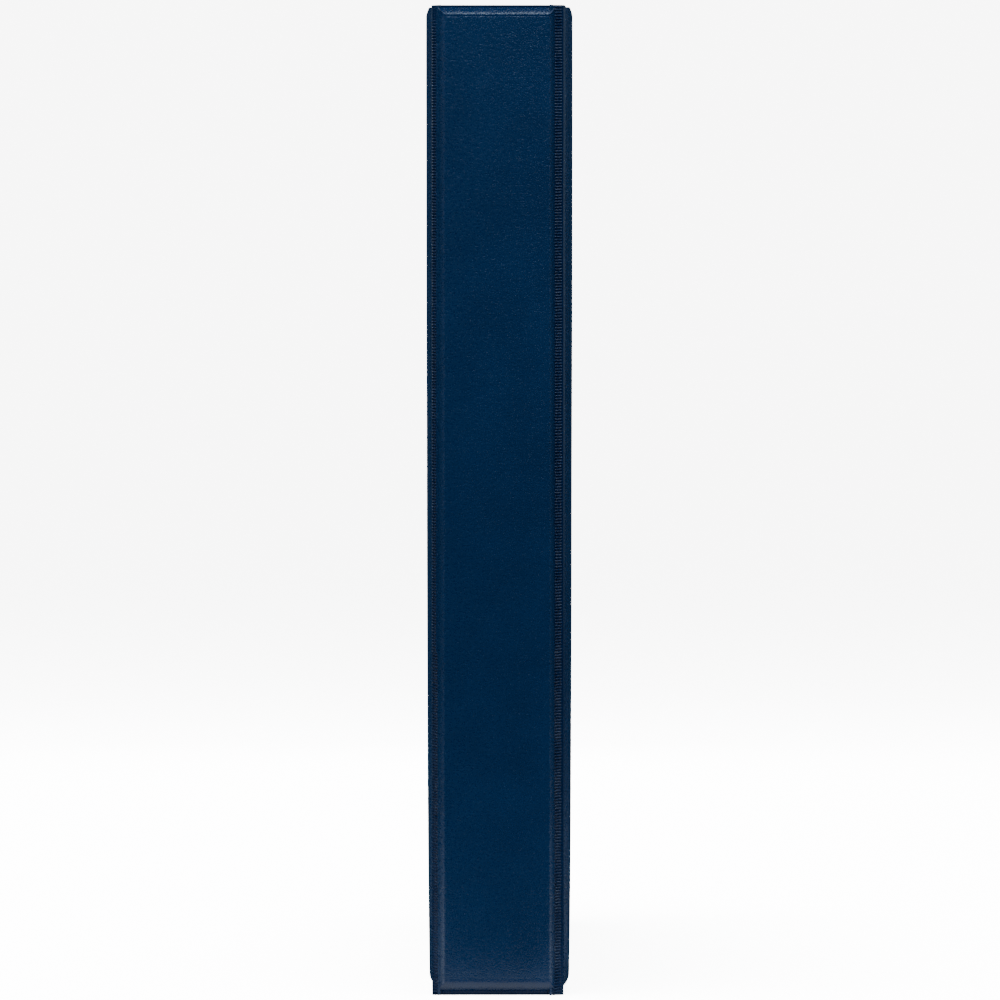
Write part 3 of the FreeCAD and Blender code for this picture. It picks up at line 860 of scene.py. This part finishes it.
def rounded(corners, radius, count=5):
    """Outline through corners, each rounded by an arc that touches both of its sides."""
    outline = []
    for index, corner in enumerate(corners):
        here = Vector(corner)
        before = (Vector(corners[index - 1]) - here).normalized()
        after = (Vector(corners[(index + 1) % len(corners)]) - here).normalized()
        half = before.angle(after) / 2
        reach = radius / math.tan(half)
        centre = here + (before + after).normalized() * (radius / math.sin(half))
        first, last = here + before * reach, here + after * reach
        for k in range(count + 1):
            point = first.lerp(last, k / count) - centre
            outline.append(tuple(centre + point.normalized() * radius))
    return outline


def hole_places(node):
    """Depth and heights of a leaf's ring holes, from its box and the rings."""
    low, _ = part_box(node)
    rings = [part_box(f"front_ring_{place}") for place in RING_PLACES]
    heights = [(ring_low.z + ring_high.z) / 2 for ring_low, ring_high in rings]
    margin = 9.0 * MM if "lifter" in node else 12.7 * MM
    return low.y + margin, heights


def stand_up(verts, x, shift_y=0.0, shift_z=0.0):
    """Points of a sheet made lying flat, stood upright at an x."""
    return [(x + c, a + shift_y, b + shift_z) for a, b, c in verts]


def make_sheets(name, bundle):
    """A bundle of punched log sheets, each its own thin leaf, squared up by hand."""
    node = f"{name}_{bundle}"
    low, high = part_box(node)
    depth, heights = hole_places(node)
    count = 9
    pitch = (high.x - low.x) / count
    filled = 0.82
    outline = rounded(rectangle(low.y, high.y, low.z, high.z), 0.6 * MM, 3)
    holes = [circle((depth, z), HOLE_RADIUS) for z in heights]
    verts, faces = outline_mesh(outline, holes, pitch * filled)
    all_verts, all_faces = [], []
    slip_mm = 0.3
    for leaf in range(count):
        middle = low.x + (leaf + 0.5) * pitch
        shift_y = RNG.uniform(-slip_mm, slip_mm) * MM
        shift_z = RNG.uniform(-slip_mm, slip_mm) * MM
        base = len(all_verts)
        all_verts += stand_up(verts, middle, shift_y, shift_z)
        all_faces += [tuple(base + v for v in face) for face in faces]
    piece = new_object(f"{node}_leaves", all_verts, all_faces, PAPER, smooth=False)
    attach(piece, f"{name}_leaves")
    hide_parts(node)


def make_divider(name):
    """Divider card with a round-cornered tab beyond the sheets."""
    node = f"{name}_tab_divider"
    low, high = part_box(node)
    depth, heights = hole_places(node)
    tab_wide, tab_tall, tab_slope = 11.0 * MM, 62 * MM, 5 * MM
    off_middle = 0.62
    tab_middle = MIDDLE + SIDES[name] * off_middle * tab_tall
    tab_low, tab_high = tab_middle - tab_tall / 2, tab_middle + tab_tall / 2
    edge = high.y - tab_wide
    corners = [(low.y, low.z), (edge, low.z), (edge, tab_low), (high.y, tab_low + tab_slope),
               (high.y, tab_high - tab_slope), (edge, tab_high), (edge, high.z), (low.y, high.z)]
    holes = [circle((depth, z), HOLE_RADIUS) for z in heights]
    thick = (high.x - low.x) * 0.9
    verts, faces = outline_mesh(rounded(corners, 1.8 * MM), holes, thick)
    verts = stand_up(verts, (low.x + high.x) / 2)
    piece = new_object(f"{node}_card", verts, faces, CARD, smooth=False)
    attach(piece, f"{name}_leaves")
    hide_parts(node)


def make_lifter(name):
    """Plastic sheet lifter with slots for the rings."""
    node = f"{name}_sheet_lifter"
    low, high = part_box(node)
    depth, heights = hole_places(node)
    corner_radius, corner_steps = 6 * MM, 8
    outline = rounded(rectangle(low.y, high.y, low.z, high.z), corner_radius, corner_steps)
    half_long, half_tall, slot_radius = 3.4 * MM, 2.2 * MM, 2.0 * MM
    slots = []
    for z in heights:
        slot = rectangle(depth - half_long, depth + half_long, z - half_tall, z + half_tall)
        slots.append(rounded(slot, slot_radius))
    verts, faces = outline_mesh(outline, slots, high.x - low.x)
    verts = stand_up(verts, (low.x + high.x) / 2)
    piece = new_object(f"{node}_plate", verts, faces, LIFTER, smooth=False)
    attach(piece, f"{name}_leaves")
    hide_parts(node)


# ------------------------------------------------------------------ ring metal

def metal_nodes():
    """Each metal node of the frame with its material."""
    yield "ring_rail", SHEET_NICKEL
    for end in ("top", "bottom"):
        yield f"{end}_lever", SHEET_NICKEL
        yield f"{end}_lever_pin", ZINC
        yield f"{end}_rail_rivet", ZINC
    for name in SIDES:
        yield f"{name}_blade", ZINC
        for place in RING_PLACES:
            yield f"{name}_ring_{place}", NICKEL


def paint_nodes():
    """Give each of the frame's own nodes that is kept its material."""
    for node, material in (*metal_nodes(), ("spine_inner_vinyl", LINING)):
        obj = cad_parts[node]
        obj.data.materials.clear()
        obj.data.materials.append(material)


# -------------------------------------------------------------- floor and light

def area_light(name, place, target, size, power, color=WHITE):
    """Soft rectangular lamp, hidden from the camera, that faces a target."""
    lamp = bpy.data.lights.new(name, "AREA")
    lamp.color = color
    lamp.shape = "RECTANGLE"
    lamp.size, lamp.size_y = size
    lamp.energy = power
    obj = bpy.data.objects.new(name, lamp)
    obj.location = place
    obj.rotation_euler = (Vector(target) - Vector(place)).to_track_quat("-Z", "Y").to_euler()
    obj.visible_camera = False
    LINK(obj)
    return obj


def floor_panel(name, x, y, lift, size, power, color=WHITE):
    """Lamp lying a hair over the floor and facing up: light that the floor would throw back."""
    return area_light(name, (x, y, lift), (x, y, 1), size, power, color)


def light_only(lamp, objects):
    """Make a lamp light nothing but the objects."""
    lit = bpy.data.collections.new(f"{lamp.name}_lit")
    for obj in objects:
        lit.objects.link(obj)
    lamp.light_linking.receiver_collection = lit


def make_lights():
    """Soft lamps, in metres and watts. A fill gives colour and no gloss."""
    front = SPINE_FACE
    centre = (0, 0, MIDDLE)
    head = (0, front, HIGH.z)

    # Two long lamps in front give the crest at the spine's head its highlight.
    area_light("strip", (-0.04, front - 0.5, 0.82), head, (0.4, 0.09), 1.3, COOL)
    area_light("high_strip", (0.05, front - 0.42, 1.05), head, (0.9, 0.14), 4.8, MILD)

    # Pairs: distance out to the side, depth and height of each lamp, its size, and the power
    # of the left one and the right one.
    for name, (out, depth, high), size, powers, color, glossy in (
        ("fill", (0.8, front - 0.85, 0.62), (0.5, 0.5), (8.2, 6.8), WHITE, False),
        ("side", (1.0, front - 0.45, 0.2), (0.45, 0.7), (0.5, 0.4), COOL, True),
        ("high", (1.05, front - 0.35, 1.15), (1.2, 0.4), (4.5, 3.6), MILD, True),
        ("behind", (0.6, 1.1, 1.5), (1.2, 1.0), (15.0, 15.0), MILD, True),
        ("sheen", (1.5, 1.4, 0.5), (1.2, 0.8), (1.4, 1.4), COOL, True),
        ("back_fill", (0.9, 1.3, 0.8), (0.8, 0.8), (20.0, 20.0), WHITE, False),
    ):
        for side, x, power in (("left", -out, powers[0]), ("right", out, powers[1])):
            lamp = area_light(f"{side}_{name}", (x, depth, high), centre, size, power, color)
            lamp.visible_glossy = glossy
    inner_fill = area_light("inner_fill", (0, 1.3, 0.5), centre, (0.36, 0.5), 9.0)
    inner_fill.visible_glossy = False

    # Panels on the floor, close to the spine's foot and beside the covers.
    floor_panel("floor_glow", 0, front - 0.009, 0.0003, (0.3, 0.021), 0.022)
    for side, sign in (("left", -1), ("right", 1)):
        floor_panel(f"{side}_glow", sign * 0.11, front - 0.03, 0.0004, (0.16, 0.05), 0.06)
        floor_panel(f"{side}_card", sign * 0.55, 0.35, 0.0004, (0.7, 0.8), 0.25, COOL)

    # A wide lamp overhead lights only the floor, so that things on it cast a shadow.
    floor_lamp = area_light("floor_lamp", (-0.3, -0.3, 3.0), (0, 0, 0), (1.6, 1.6), 700)
    light_only(floor_lamp, [bpy.data.objects["floor"]])

    # The metal mirrors a pale room: wide dim panels under it and over it.
    metal = [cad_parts[node] for node, _ in metal_nodes()]
    light_only(floor_panel("metal_floor", 0, 0.1, 0.0005, (1.4, 1.4), 5.0), metal)
    light_only(area_light("metal_sky", (0, 0.3, 1.6), centre, (2.0, 2.0), 9.0), metal)


def make_floor():
    """Pale floor, bright in itself so that it runs into the surroundings without a line."""
    nodes = Nodes("pale_floor")
    mottle = nodes.noise(3, detail=3)
    color = nodes.ramp(mottle, (0.80, 0.80, 0.80), (0.82, 0.82, 0.82), start=0.3, end=0.7)
    material = nodes.finish(color, nodes.remap(mottle, 0.7, 0.8), Emission_Strength=PALE,
                            Emission_Color=(*WHITE, 1))
    half = 30.0
    verts = [(-half, -half, LOW.z), (half, -half, LOW.z), (half, half, LOW.z), (-half, half, LOW.z)]
    floor = new_object("floor", verts, [(0, 1, 2, 3)], material, smooth=False)
    floor.visible_glossy = False
    floor.visible_diffuse = False


def make_world():
    """Even pale surroundings. What lights the object is dimmer and bluer than what is seen."""
    light, light_tint = 0.06, (0.25, 0.55, 1.0)
    world = bpy.data.worlds.new("studio")
    bpy.context.scene.world = world
    world.use_nodes = True
    tree = world.node_tree
    back = tree.nodes["Background"]
    seen = tree.nodes.new("ShaderNodeLightPath").outputs["Is Camera Ray"]
    level = tree.nodes.new("ShaderNodeMapRange")
    level.inputs["To Min"].default_value = light
    level.inputs["To Max"].default_value = PALE
    tree.links.new(seen, level.inputs["Value"])
    tree.links.new(level.outputs["Result"], back.inputs["Strength"])
    tint = tree.nodes.new("ShaderNodeMix")
    tint.data_type = "RGBA"
    tint.inputs[MIX_A].default_value = (*light_tint, 1)
    tint.inputs[MIX_B].default_value = (*WHITE, 1)
    tree.links.new(seen, tint.inputs["Factor"])
    tree.links.new(tint.outputs[MIX_RESULT], back.inputs["Color"])


def make_camera():
    """Level camera at mid-height, square on to the spine."""
    distance = 1.5
    to_right = 0.2 * MM
    frame_height = 294.6 * MM
    sensor = 36
    camera = bpy.data.cameras.new("camera")
    camera.sensor_width = sensor
    camera.lens = sensor * distance / frame_height
    camera.clip_end = 50
    obj = bpy.data.objects.new("camera", camera)
    obj.location = (to_right, SPINE_FACE - distance, MIDDLE)
    obj.rotation_euler = (math.pi / 2, 0, 0)
    LINK(obj)
    bpy.context.scene.camera = obj


make_camera()
make_world()
make_floor()
make_lights()

make_spine_case()
make_spine_core()
for name, side in SIDES.items():
    make_cover(name, side)
    make_web(name, side)
    for bundle in BUNDLES:
        make_sheets(name, bundle)
    make_divider(name)
    make_lifter(name)
paint_nodes()
